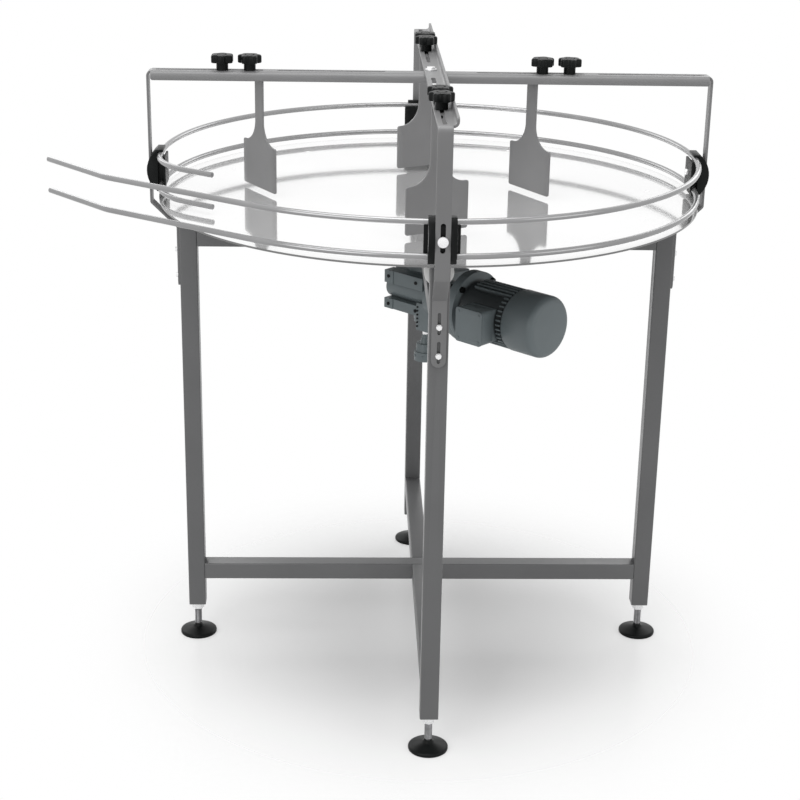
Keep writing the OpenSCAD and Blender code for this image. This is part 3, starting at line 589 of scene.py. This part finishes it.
def bent_path(start, heading, stretches, places):
    """Points of a flat path and its headings at distances along it: each stretch has a length and turns
    evenly by its angle, and the place is the running integral of the heading's cosine and sine"""
    lengths, turns = np.asarray(stretches, float).T
    knots = np.concatenate([[0], np.cumsum(lengths)])
    headings = math.radians(heading) + np.radians(np.concatenate([[0], np.cumsum(turns)]))
    fine = np.linspace(0, knots[-1], PATH_POINTS)
    angle = np.interp(fine, knots, headings)
    step = fine[1] - fine[0]
    middle = (angle[1:] + angle[:-1]) / 2
    first = start[0] + np.concatenate([[0], np.cumsum(np.cos(middle)) * step])
    second = start[1] + np.concatenate([[0], np.cumsum(np.sin(middle)) * step])
    places = np.asarray(places, float)
    return np.interp(places, fine, first), np.interp(places, fine, second), np.interp(places, fine, angle)


def slot_half(places, slots):
    """Half opening of round-ended slots along a strip, nought where there is no slot"""
    low, high, width = np.asarray(slots, float).T[:, :, None]
    beyond = np.maximum(np.abs(places - (low + high) / 2) - (high - low - width) / 2, 0)
    return np.sqrt(np.maximum(width ** 2 / 4 - beyond ** 2, 0)).sum(axis=0)


def strip_lanes(top, rise):
    """Half a gantry's middle surface: distance along the folded strip by distance across it. Two lanes run
    between the strip's edges and its slots, and a third one follows the flange's bend up (1) or down (-1)"""
    lead = FOLD_R * math.tan(math.radians(FOLD_TURN / 2))
    middle = top - SHEET / 2
    fold = FOLD_R * math.radians(FOLD_TURN)
    jog = (UPRIGHT_MID - FOOT_MID) * math.sqrt(2) - 2 * lead
    bar = UPRIGHT_MID - CORNER_R
    corner = CORNER_R * math.pi / 2
    upright = middle - CORNER_R - JOG_TOP - lead
    foot = JOG_TOP - (UPRIGHT_MID - FOOT_MID) - lead - FOOT_LOW
    stretches = [(bar, 0), (corner, -90), (upright, 0)]
    stretches += [(fold, -FOLD_TURN), (jog, 0), (fold, FOLD_TURN), (foot, 0)]
    total = sum(length for length, turn in stretches)
    upright_zero = bar + corner + middle - CORNER_R
    slots = [*BAR_SLOTS, (upright_zero - CLAMP_SLOT[1], upright_zero - CLAMP_SLOT[0], CLAMP_SLOT[2])]
    slots += [(total - high + FOOT_LOW, total - low + FOOT_LOW, width) for low, high, width in FOOT_SLOTS]
    ease = (1 - np.cos(np.linspace(0, math.pi / 2, CURVE_STEPS))) / 2
    knots = np.cumsum([length for length, turn in stretches])
    marks = [np.linspace(0, total, STRIP_STEPS), np.linspace(bar, bar + corner, CURVE_STEPS)]
    marks += [[FLANGE_END], knots[:-1]]
    marks += [np.linspace(knots[2], knots[3], FOLD_STEPS), np.linspace(knots[4], knots[5], FOLD_STEPS)]
    marks += [low + width * ease for low, high, width in slots]
    marks += [high - width * ease for low, high, width in slots]
    marks += [total - 2 * STRIP_HALF * ease]
    marks += [FLANGE_END - FLANGE_CORNER * 2 * ease]
    along = np.unique(np.round(np.concatenate(marks), 4))
    across = np.linspace(0, 1, LANE_STEPS)
    out, high, unused = bent_path((0, middle), 0, stretches, along)
    width = np.sqrt(np.maximum(STRIP_HALF ** 2 - np.maximum(along - total + STRIP_HALF, 0) ** 2, 0))
    inner = np.minimum(slot_half(along, slots), width)
    reach = inner[:, None] + (width - inner)[:, None] * across
    line = np.stack([out, high], axis=-1)[:, None, :].repeat(across.size, axis=1)
    lanes = [np.stack([line[..., 0], way * reach, line[..., 1]], axis=-1) for way in (-1, 1)]
    rows = along <= FLANGE_END + ROUNDING
    short = np.maximum(along[rows] - FLANGE_END + FLANGE_CORNER, 0)
    tip = FLANGE_RISE - FLANGE_CORNER + np.sqrt(np.maximum(FLANGE_CORNER ** 2 - short ** 2, 0))
    bend = np.linspace(0, math.pi / 2, BEND_STEPS)
    bend_out = np.broadcast_to(FLANGE_R * np.sin(bend), (rows.sum(), BEND_STEPS))
    bend_up = np.broadcast_to(FLANGE_R * (1 - np.cos(bend)), (rows.sum(), BEND_STEPS))
    flange_out = np.concatenate([bend_out, bend_out[:, -1:]], axis=1)
    flange_up = np.concatenate([bend_up, FLANGE_R + tip[:, None]], axis=1)
    flange_x = np.broadcast_to(along[rows][:, None], flange_out.shape)
    lanes.append(np.stack([flange_x, -STRIP_HALF - flange_out, middle + rise * flange_up], axis=-1))
    return lanes


def mirrored_lanes(lanes):
    """Lanes and their mirror images across x = 0"""
    return [(lane, False) for lane in lanes] + [(lane * np.array([-1.0, 1, 1]), False) for lane in lanes]


def thicken(piece, thickness):
    """Gives a middle surface its sheet thickness in millimetres, then breaks the cut edges"""
    solid = piece.modifiers.new("sheet", "SOLIDIFY")
    solid.thickness = thickness * MM
    solid.offset = 0
    round_edges(piece, CUT_EDGE * MM)


sheet_coat = sprayed_coat("sheet_coat", SHEET_DARK, SHEET_LIGHT, rough=0.4, metal=0.0, peel=0.03)
low_lanes = mirrored_lanes(strip_lanes(BAR_TOP, -1))
low_gantry = new_piece(
    "left_right_gantry", low_lanes, sheet_coat, "gantry", "sheet_steel", "gantry_left_right"
)
thicken(low_gantry, SHEET)
high_lanes = [(turned_to(lane, 90), around) for lane, around in mirrored_lanes(strip_lanes(CROSS_TOP, 1))]
high_gantry = new_piece(
    "front_back_gantry", high_lanes, sheet_coat, "gantry", "sheet_steel", "gantry_front_back"
)
thicken(high_gantry, SHEET)
dress("crossing_bolt", zinc_plate, edge=0.0008)
dress("bracket_bolts", zinc_plate, edge=0.0004)


# Guide rails
# Two bright-drawn steel rods, bent round the disc with an open infeed channel on the left, and
# held by black moulded clamps, each with an inner plate and one round-headed bolt.
ROD_DARK = (0.27, 0.27, 0.273, 1.0)
ROD_LIGHT = (0.31, 0.31, 0.313, 1.0)
ROD_R = 6.0
ROD_TIP = 0.8
ROD_SIDES = 20
RAIL_STEPS = 420
RAIL_START = (-831.0944, -80.2252)
RAIL_HEADING = -49.5
FLARE_LENGTH = 209.164
FLARE_R = 100.0
FLARE_TURN = 13.5
INFEED_LENGTH = 361.164
EXIT_RISE = 10.0
EXIT_TURN = 30.0
RING_R = 595.0
RING_TURN = 276.0
EXIT_R = RING_R + EXIT_RISE / (1 - math.cos(math.radians(EXIT_TURN)))
STUB_LEAD = 35.0
STUB_R = 179.4
STUB_TURN = 54.0
STUB_END = 67.0
RAIL_STRETCHES = [
    (FLARE_LENGTH, 0),
    (FLARE_R * math.radians(FLARE_TURN), FLARE_TURN),
    (INFEED_LENGTH, 0),
    (EXIT_R * math.radians(EXIT_TURN), EXIT_TURN),
    (RING_R * math.radians(RING_TURN), RING_TURN),
    (STUB_LEAD, 0),
    (STUB_R * math.radians(STUB_TURN), STUB_TURN),
    (STUB_END, 0),
]


def swept_rod(height):
    """Rod: a circle carried along a flat path, drawn in to a small chamfer and a pole at each end"""
    total = sum(length for length, turn in RAIL_STRETCHES)
    knots = np.cumsum([length for length, turn in RAIL_STRETCHES])
    evenly = np.linspace(ROD_TIP, total - ROD_TIP, RAIL_STEPS)
    marks = np.unique(np.round(np.concatenate([evenly, knots[:-1]]), 3))
    along = np.concatenate([[0, 0], marks, [total, total]])
    radius = np.concatenate([[0, ROD_R - ROD_TIP], np.full(marks.size, ROD_R), [ROD_R - ROD_TIP, 0]])
    first, second, heading = bent_path(RAIL_START, RAIL_HEADING, RAIL_STRETCHES, along)
    turn = np.linspace(0, 2 * math.pi, ROD_SIDES, endpoint=False)
    aside = radius[:, None] * np.cos(turn)
    above = radius[:, None] * np.sin(turn)
    return np.stack([
        first[:, None] - aside * np.sin(heading)[:, None],
        second[:, None] + aside * np.cos(heading)[:, None],
        height + above,
    ], axis=-1)


rod_steel = sprayed_coat("rod_steel", ROD_DARK, ROD_LIGHT, rough=0.2, metal=0.6, peel=0.01)
for name in ("upper_rail", "lower_rail"):
    low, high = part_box(name)
    rod = swept_rod((low.z + high.z) / 2 / MM)
    rod_piece = new_piece(f"{name}_rod", [(rod, True)], rod_steel, "rail_set", "rail_steel", name)
    round_edges(rod_piece, edge=0)
dress("clamp_bodies", black_plastic, edge=0.0010)
dress("clamp_plates", black_plastic, edge=0.0010)
dress("clamp_bolts", zinc_plate, edge=0.0010)


# Deflectors and star knobs
# Cut sheet blades hang from the bars' slots on welded feet; each is clamped by two black moulded
# star knobs with steel studs.
BLADE_HALF = 75.0
BLADE_LOW = 8.0
BLADE_HIGH = 108.0
BLADE_SHEET = 4.0
BLADE_CORNER = 5.0
NECK_HALF = 17.5
FILLET_R = 50.0
BLADE_TURN = -60.0
BLADE_LANES = 9
BLADE_STEPS = 8
HOLLOW_START = 0.08
HOLLOW_STEPS = 20
BLADE_WELD = 3.0
NECKS = {"right": 225.0, "back": 243.0, "left": 377.0, "front": 372.0}
BARS = {"right": BAR_TOP, "back": CROSS_TOP, "left": BAR_TOP, "front": CROSS_TOP}
HANGER_HALF = 12.5
HANGER_BACK = 12.0
HANGER_AHEAD = 94.0
HANGER_CORNER = 5.0
HANGER_LANES = 5
HANGER_STEPS = 7
KNOB_LEADS = {"inner": 20.0, "outer": 80.0}
KNOB_TURNS = {
    "right": {"inner": 14.0, "outer": 42.0},
    "back": {"inner": 30.0, "outer": 0.0},
    "left": {"inner": 0.0, "outer": 30.0},
    "front": {"inner": 30.0, "outer": 30.0},
}
KNOB_R = 26.0
KNOB_LOBE = 8.0
KNOB_VALLEY = 5.0
KNOB_STEM_R = 13.0
KNOB_STEM = 16.0
KNOB_HEAD = 17.5
KNOB_LOBES = 6
KNOB_SIDES = 96
KNOB_BLEND = 24
KNOB_UNDER = [(2.2, 0), (0.7, 0.5), (0, 2)]
KNOB_SHOULDER = [(0, -4), (0.5, -2), (1.6, -0.6)]
KNOB_CROWN = [(12, 0), (11, -0.1), (10.6, -1.5), (8.9, -1.5), (8.5, -0.1), (8, 0)]
CROWN_SHARE = 0.5
CROWN_LEAST = 9.0
CROWN_DROP = 0.02
STEM_EDGE = 0.6
STEM_FILLET = 2.0
STUD_R = 4.0
STUD_LOW = -18.0


def blade_sheet(top):
    """Blade's middle surface, upright in the XZ plane: half-width by height, times -1 to 1 across. The sides
    have round corners, then two hollow quarter circles draw the sheet in to the neck"""
    quarter = np.linspace(0, math.pi / 2, BLADE_STEPS)
    hollow = np.linspace(HOLLOW_START, math.pi / 2, HOLLOW_STEPS)
    half = np.concatenate([
        BLADE_HALF - BLADE_CORNER * (1 - np.sin(quarter)),
        BLADE_HALF - BLADE_CORNER * (1 - np.cos(quarter)),
        NECK_HALF + FILLET_R * (1 - np.sin(hollow)),
        [NECK_HALF],
    ])
    height = np.concatenate([
        BLADE_LOW + BLADE_CORNER * (1 - np.cos(quarter)),
        BLADE_HIGH - BLADE_CORNER * (1 - np.sin(quarter)),
        BLADE_HIGH + FILLET_R * (1 - np.cos(hollow)),
        [top],
    ])
    wide = half[:, None] * np.linspace(-1, 1, BLADE_LANES)
    return np.stack([wide, np.zeros_like(wide), np.repeat(height[:, None], BLADE_LANES, axis=1)], axis=-1)


def hanger_strip(height):
    """Foot of a deflector: a flat strip along X whose half-width follows round end corners"""
    ease = HANGER_CORNER * (1 - np.cos(np.linspace(0, math.pi / 2, HANGER_STEPS)))
    along = np.concatenate([-HANGER_BACK + ease, HANGER_AHEAD - ease[::-1]])
    beyond = np.maximum(-along - HANGER_BACK, along - HANGER_AHEAD)
    inset = np.maximum(beyond + HANGER_CORNER, 0)
    half = HANGER_HALF - HANGER_CORNER + np.sqrt(np.maximum(HANGER_CORNER ** 2 - inset ** 2, 0))
    wide = half[:, None] * np.linspace(-1, 1, HANGER_LANES)
    length = np.repeat(along[:, None], HANGER_LANES, axis=1)
    return np.stack([length, wide, np.full_like(wide, height)], axis=-1)


def star_knob():
    """Star knob on its stud, turned about Z: the head's radius is the soft maximum of a core circle and six
    lobe circles, less the inset of each row of a rounded section; the crown is circles with a ring recess"""
    turn = np.linspace(0, 2 * math.pi, KNOB_SIDES, endpoint=False)
    swing = np.mod(turn + math.pi / KNOB_LOBES, 2 * math.pi / KNOB_LOBES) - math.pi / KNOB_LOBES
    far = KNOB_R - KNOB_LOBE
    lobes = far * np.cos(swing) + np.sqrt(np.maximum(KNOB_LOBE ** 2 - (far * np.sin(swing)) ** 2, 0))
    core = np.full(KNOB_SIDES, KNOB_R - KNOB_VALLEY)
    star = (lobes ** KNOB_BLEND + core ** KNOB_BLEND) ** (1 / KNOB_BLEND)
    star *= KNOB_R / star.max()
    stem = np.array([
        (0, STUD_LOW),
        (STUD_R, STUD_LOW),
        (STUD_R, 0),
        (KNOB_STEM_R - STEM_EDGE, 0),
        (KNOB_STEM_R, STEM_EDGE),
        (KNOB_STEM_R, KNOB_STEM - STEM_FILLET),
        (KNOB_STEM_R + STEM_EDGE, KNOB_STEM - STEM_EDGE),
    ])
    top = KNOB_STEM + KNOB_HEAD
    under = np.array(KNOB_UNDER) + (0, KNOB_STEM)
    shoulder = np.array(KNOB_SHOULDER) + (0, top)
    crown = np.array(KNOB_CROWN) + (0, top)
    radius = np.concatenate([
        np.repeat(stem[:, :1], KNOB_SIDES, axis=1),
        star[None, :] - under[:, :1],
        star[None, :] - shoulder[:, :1],
        star[None, :] * CROWN_SHARE + CROWN_LEAST,
        np.repeat(crown[:, :1], KNOB_SIDES, axis=1),
        np.zeros((1, KNOB_SIDES)),
    ])
    rows = [stem[:, 1], under[:, 1], shoulder[:, 1], [top - CROWN_DROP], crown[:, 1], [top]]
    return revolved(radius, np.concatenate(rows), KNOB_SIDES)


for side, swing in ARMS.items():
    neck = NECKS[side]
    hang = BARS[side] - SHEET - SEAT_GAP
    at_neck = np.array([neck, 0, 0])
    node = f"deflector_{side}"
    blade = turned_to(turned_to(blade_sheet(hang - BLADE_WELD), BLADE_TURN) + at_neck, swing)
    blade_piece = new_piece(f"{side}_blade", [(blade, False)], sheet_coat, node, "sheet_steel", node)
    thicken(blade_piece, BLADE_SHEET)
    hanger = turned_to(hanger_strip(hang - SHEET / 2) + at_neck, swing)
    hanger_piece = new_piece(f"{side}_hanger", [(hanger, False)], sheet_coat, node, "sheet_steel", node)
    thicken(hanger_piece, SHEET)
    for end, lead in KNOB_LEADS.items():
        node = f"knob_{side}_{end}"
        place = np.array([neck + lead, 0, BARS[side] + SEAT_GAP])
        star = turned_to(turned_to(star_knob(), KNOB_TURNS[side][end]) + place, swing)
        star_name = f"{side}_{end}_star"
        star_piece = new_piece(star_name, [(star, True)], black_plastic, node, "black_plastic", node)
        round_edges(star_piece, edge=0)


# Studio floor
# A pale grey floor under the feet that fades into the white surround. The fade, from grey under the
# table to white at the edge, is a painted soft shadow; the table's rendered shadow and a faint gloss
# of the legs lie on it as well.
FLOOR_CLEAR = 0.2
FLOOR_GONE = 0.95
FLOOR_SHADOW_GREY = (0.81, 0.81, 0.81, 1.0)
FLOOR_ROUGH = 0.25
FLOOR_SHINE = 0.25
FLOOR_RINGS = 14
FLOOR_SIDES = 72

floor_radius = np.linspace(0, FLOOR_GONE / MM, FLOOR_RINGS)
floor_rows = revolved(floor_radius, np.full(FLOOR_RINGS, FLOOR_Z), FLOOR_SIDES)
floor_points, floor_faces = welded([(floor_rows, True)])
floor_mesh = bpy.data.meshes.new("studio_floor")
floor_mesh.from_pydata(floor_points.tolist(), [], floor_faces)
floor = bpy.data.objects.new("studio_floor", floor_mesh)
bpy.context.scene.collection.objects.link(floor)
floor_material, floor_tree, floor_shader = new_material("floor_painted_shadow")
floor_shader.inputs["Base Color"].default_value = FLOOR_SHADOW_GREY
floor_shader.inputs["Roughness"].default_value = FLOOR_ROUGH
floor_shader.inputs["Specular IOR Level"].default_value = FLOOR_SHINE
floor_place = floor_tree.nodes.new("ShaderNodeTexCoord")
floor_flat = floor_tree.nodes.new("ShaderNodeVectorMath")
floor_flat.operation = "MULTIPLY"
floor_flat.inputs[1].default_value = (1, 1, 0)
floor_length = floor_tree.nodes.new("ShaderNodeVectorMath")
floor_length.operation = "LENGTH"
# Fades the grey floor out into the white surround: a painted soft shadow, darkest under the table
painted_shadow_fade = floor_tree.nodes.new("ShaderNodeMapRange")
painted_shadow_fade.interpolation_type = "SMOOTHSTEP"
painted_shadow_fade.inputs["From Min"].default_value = FLOOR_CLEAR
painted_shadow_fade.inputs["From Max"].default_value = FLOOR_GONE
floor_clear = floor_tree.nodes.new("ShaderNodeBsdfTransparent")
floor_mix = floor_tree.nodes.new("ShaderNodeMixShader")
floor_tree.links.new(floor_place.outputs["Object"], floor_flat.inputs[0])
floor_tree.links.new(floor_flat.outputs["Vector"], floor_length.inputs[0])
floor_tree.links.new(floor_length.outputs["Value"], painted_shadow_fade.inputs["Value"])
floor_tree.links.new(painted_shadow_fade.outputs["Result"], floor_mix.inputs["Fac"])
floor_tree.links.new(floor_shader.outputs["BSDF"], floor_mix.inputs[1])
floor_tree.links.new(floor_clear.outputs["BSDF"], floor_mix.inputs[2])
floor_tree.links.new(floor_mix.outputs["Shader"], floor_tree.nodes["Material Output"].inputs["Surface"])
floor_mesh.materials.append(floor_material)


# Studio light
# A white surround that gloss, glass and the camera see at full white, a little lower as light, with one
# large soft lamp overhead and four lower ones at the corners, the strongest at the front left.
SURROUND_LIGHT = 0.62
LAMPS = {
    "top_lamp": ((-0.3, -0.4, 3.0), 2.6, 78.0),
    "front_lamp": ((-2.6, -3.4, 1.2), 2.4, 55.0),
    "side_lamp": ((3.0, -2.6, 0.9), 2.0, 20.0),
    "back_left_lamp": ((-2.0, 3.1, 1.6), 2.0, 24.0),
    "back_right_lamp": ((2.2, 3.1, 1.6), 2.0, 24.0),
}
LAMP_AIM = np.array([0.0, 0.0, -0.3])

world = bpy.data.worlds.new("studio_surround")
bpy.context.scene.world = world
world.use_nodes = True
world_tree = world.node_tree
surround = world_tree.nodes["Background"]
ray = world_tree.nodes.new("ShaderNodeLightPath")
seen = world_tree.nodes.new("ShaderNodeMath")
seen.operation = "MAXIMUM"
mirrored = world_tree.nodes.new("ShaderNodeMath")
mirrored.operation = "MAXIMUM"
level = world_tree.nodes.new("ShaderNodeMapRange")
level.inputs["To Min"].default_value = SURROUND_LIGHT
level.inputs["To Max"].default_value = 1.0
surround.inputs["Color"].default_value = (1, 1, 1, 1)
world_tree.links.new(ray.outputs["Is Camera Ray"], seen.inputs[0])
world_tree.links.new(ray.outputs["Is Glossy Ray"], seen.inputs[1])
world_tree.links.new(seen.outputs["Value"], mirrored.inputs[0])
world_tree.links.new(ray.outputs["Is Transmission Ray"], mirrored.inputs[1])
world_tree.links.new(mirrored.outputs["Value"], level.inputs["Value"])
world_tree.links.new(level.outputs["Result"], surround.inputs["Strength"])
for name, (place, size, power) in LAMPS.items():
    lamp = bpy.data.lights.new(name, "AREA")
    lamp.size = size
    lamp.energy = power
    lamp_object = bpy.data.objects.new(name, lamp)
    bpy.context.scene.collection.objects.link(lamp_object)
    aim = LAMP_AIM - np.array(place)
    lamp_object.location = place
    lamp_object.rotation_euler = (
        math.atan2(math.hypot(aim[0], aim[1]), -aim[2]),
        0,
        math.atan2(aim[1], aim[0]) - math.pi / 2,
    )


# Camera
# Stands in front of the table, a little to the left and above the bars, at the photograph's angle.
# Its long lens keeps the legs nearly parallel, and nothing is out of focus.
CAMERA_PLACE = (-0.1862, -3.8326, 0.9191)
CAMERA_YAW = math.radians(1.953)
CAMERA_PITCH = math.radians(20.279)
CAMERA_ROLL = math.radians(1.0066)
CAMERA_LENS = 78.37
CAMERA_SENSOR = 36.0
CAMERA_NEAR = 0.05

ahead = np.array([
    math.sin(CAMERA_YAW) * math.cos(CAMERA_PITCH),
    math.cos(CAMERA_YAW) * math.cos(CAMERA_PITCH),
    -math.sin(CAMERA_PITCH),
])
level_right = np.array([math.cos(CAMERA_YAW), -math.sin(CAMERA_YAW), 0])
level_up = np.cross(level_right, ahead)
camera_right = level_right * math.cos(CAMERA_ROLL) + level_up * math.sin(CAMERA_ROLL)
camera_up = level_up * math.cos(CAMERA_ROLL) - level_right * math.sin(CAMERA_ROLL)
camera_data = bpy.data.cameras.new("camera")
camera_data.lens = CAMERA_LENS
camera_data.sensor_width = CAMERA_SENSOR
camera_data.clip_start = CAMERA_NEAR
camera = bpy.data.objects.new("camera", camera_data)
bpy.context.scene.collection.objects.link(camera)
camera_matrix = np.eye(4)
camera_matrix[:3, 0] = camera_right
camera_matrix[:3, 1] = camera_up
camera_matrix[:3, 2] = -ahead
camera_matrix[:3, 3] = CAMERA_PLACE
camera.matrix_world = Matrix(camera_matrix.tolist())
bpy.context.scene.camera = camera
bpy.context.scene.view_settings.view_transform = "Standard"
